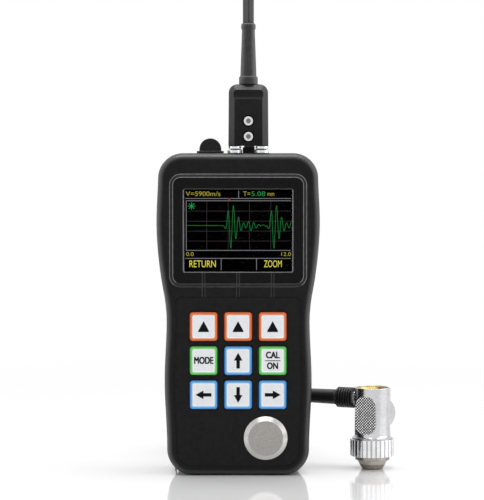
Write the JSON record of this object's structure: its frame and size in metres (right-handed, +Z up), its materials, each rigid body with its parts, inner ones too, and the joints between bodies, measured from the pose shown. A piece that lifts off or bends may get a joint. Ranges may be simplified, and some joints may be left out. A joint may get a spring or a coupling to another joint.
{
  "type": "ultrasonic thickness gauge",
  "caption": "Hand-held ultrasonic thickness gauge with colour display, square key pad and test disc, joined by a twin lead to a two-crystal contact probe.",
  "frame": {"origin": "centre of the case's foot, where the upright gauge rests", "axes": "+X to the user's right, +Y from the display side to the back, +Z up along the case"},
  "size_m": [0.1131, 0.1142, 0.2463],
  "materials": {
    "case": "fine grained black",
    "seal": "matte",
    "window": "clear with a dark tint",
    "display": "smooth",
    "sheet": "fine matte",
    "key_orange": "satin, pale field inside a coloured border",
    "key_green": "satin, pale field inside a coloured border",
    "key_blue": "satin, pale field inside a coloured border",
    "test_steel": "fine ground",
    "board": "solder mask",
    "chips": "moulded",
    "screw_steel": "zinc plated",
    "switches": "moulded",
    "cells": "satin",
    "contacts": "plated spring bronze",
    "connector_metal": "nickel plated",
    "cap_rubber": "matte",
    "plug_plastic": "satin moulded",
    "boot_rubber": "satin",
    "lead": "satin",
    "strap": "woven hook and loop",
    "probe_metal": "satin chrome",
    "probe_knurl": "diamond knurled",
    "probe_brass": "turned",
    "nose_nickel": "satin nickel",
    "delay_resin": "ground resin",
    "crystal": "ceramic",
    "cork": "fine cork"
  },
  "bodies": {
    "gauge": {"front_shell": "case", "rear_shell": "case", "case_gasket": "seal", "display_window": "window", "lcd_module": "display", "keypad_overlay": "sheet", "zero_disc": "test_steel", "main_board": "board", "board_screws": "screw_steel", "board_chips": "chips", "key_switches": "switches", "case_screws": "screw_steel", "battery_left": "cells", "battery_right": "cells", "bridge_contact": "contacts", "terminal_contacts": "contacts", "connector_board": "board", "usb_socket": "connector_metal", "cap_anchor": "cap_rubber", "socket_left": "connector_metal", "socket_right": "connector_metal", "cord_fall": "lead", "cord_coil": "lead", "cord_tail": "lead", "cord_tie": "strap", "probe_body": "probe_metal", "probe_grips": "probe_knurl", "probe_insert": "probe_brass", "probe_collar": "probe_metal", "probe_nose": "nose_nickel", "probe_face": "delay_resin", "probe_elements": "crystal", "probe_barrier": "cork", "probe_boot": "boot_rubber"},
    "door": {"battery_door": "case"},
    "cap": {"usb_cap": "cap_rubber"},
    "plug": {"plug_front_half": "plug_plastic", "plug_rear_half": "plug_plastic", "plug_pin_left": "connector_metal", "plug_pin_right": "connector_metal", "plug_screws": "screw_steel", "plug_boot": "boot_rubber", "cord_rise": "lead"},
    "soft_key_left": {"key_soft_left": "key_orange"},
    "soft_key_middle": {"key_soft_middle": "key_orange"},
    "soft_key_right": {"key_soft_right": "key_orange"},
    "menu_key": {"key_menu": "key_green"},
    "up_key": {"key_up": "key_blue"},
    "power_key": {"key_power": "key_green"},
    "left_key": {"key_left": "key_blue"},
    "down_key": {"key_down": "key_blue"},
    "right_key": {"key_right": "key_blue"}
  },
  "joints": [
    {"name": "battery_door_slide", "type": "slide", "parent": "gauge", "child": "door", "axis": [0, 0, -1], "range_m": [0, 0.012]},
    {"name": "cap_hinge", "type": "hinge", "parent": "gauge", "child": "cap", "pos_m": [-0.0131, 0.00475, 0.15055], "axis": [-1, 0, 0], "range_deg": [0, 100]},
    {"name": "plug_pull", "type": "slide", "parent": "gauge", "child": "plug", "axis": [0, 0, 1], "range_m": [0, 0.01]},
    {"name": "soft_key_left_press", "type": "slide", "parent": "gauge", "child": "soft_key_left", "axis": [0, 1, 0], "range_m": [0, 0.0008], "stiffness_N_per_m": 3000, "springref_m": -0.0002},
    {"name": "soft_key_middle_press", "type": "slide", "parent": "gauge", "child": "soft_key_middle", "axis": [0, 1, 0], "range_m": [0, 0.0008], "stiffness_N_per_m": 3000, "springref_m": -0.0002},
    {"name": "soft_key_right_press", "type": "slide", "parent": "gauge", "child": "soft_key_right", "axis": [0, 1, 0], "range_m": [0, 0.0008], "stiffness_N_per_m": 3000, "springref_m": -0.0002},
    {"name": "menu_key_press", "type": "slide", "parent": "gauge", "child": "menu_key", "axis": [0, 1, 0], "range_m": [0, 0.0008], "stiffness_N_per_m": 3000, "springref_m": -0.0002},
    {"name": "up_key_press", "type": "slide", "parent": "gauge", "child": "up_key", "axis": [0, 1, 0], "range_m": [0, 0.0008], "stiffness_N_per_m": 3000, "springref_m": -0.0002},
    {"name": "power_key_press", "type": "slide", "parent": "gauge", "child": "power_key", "axis": [0, 1, 0], "range_m": [0, 0.0008], "stiffness_N_per_m": 3000, "springref_m": -0.0002},
    {"name": "left_key_press", "type": "slide", "parent": "gauge", "child": "left_key", "axis": [0, 1, 0], "range_m": [0, 0.0008], "stiffness_N_per_m": 3000, "springref_m": -0.0002},
    {"name": "down_key_press", "type": "slide", "parent": "gauge", "child": "down_key", "axis": [0, 1, 0], "range_m": [0, 0.0008], "stiffness_N_per_m": 3000, "springref_m": -0.0002},
    {"name": "right_key_press", "type": "slide", "parent": "gauge", "child": "right_key", "axis": [0, 1, 0], "range_m": [0, 0.0008], "stiffness_N_per_m": 3000, "springref_m": -0.0002}
  ]
}
